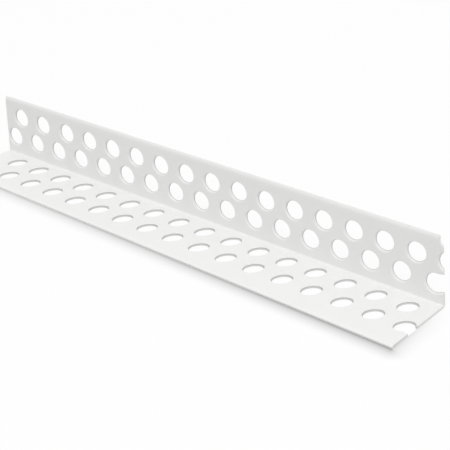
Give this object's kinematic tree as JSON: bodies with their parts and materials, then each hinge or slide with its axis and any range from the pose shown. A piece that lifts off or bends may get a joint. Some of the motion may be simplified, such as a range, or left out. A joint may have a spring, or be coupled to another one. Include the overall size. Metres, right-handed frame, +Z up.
{
  "type": "drywall corner bead",
  "caption": "Perforated white PVC angle that is laid over an outside drywall corner and covered with compound.",
  "frame": {"origin": "middle of the bead's box, on its underside, where it lies on the floor", "axes": "+X along the length towards the rough cut end, +Y towards the back of the standing leg, +Z up"},
  "size_m": [0.167, 0.026, 0.0208],
  "materials": {
    "white_pvc": "extruded rigid PVC, white, soft sheen"
  },
  "bodies": {
    "root": {"corner_bead": "white_pvc"}
  },
  "joints": []
}
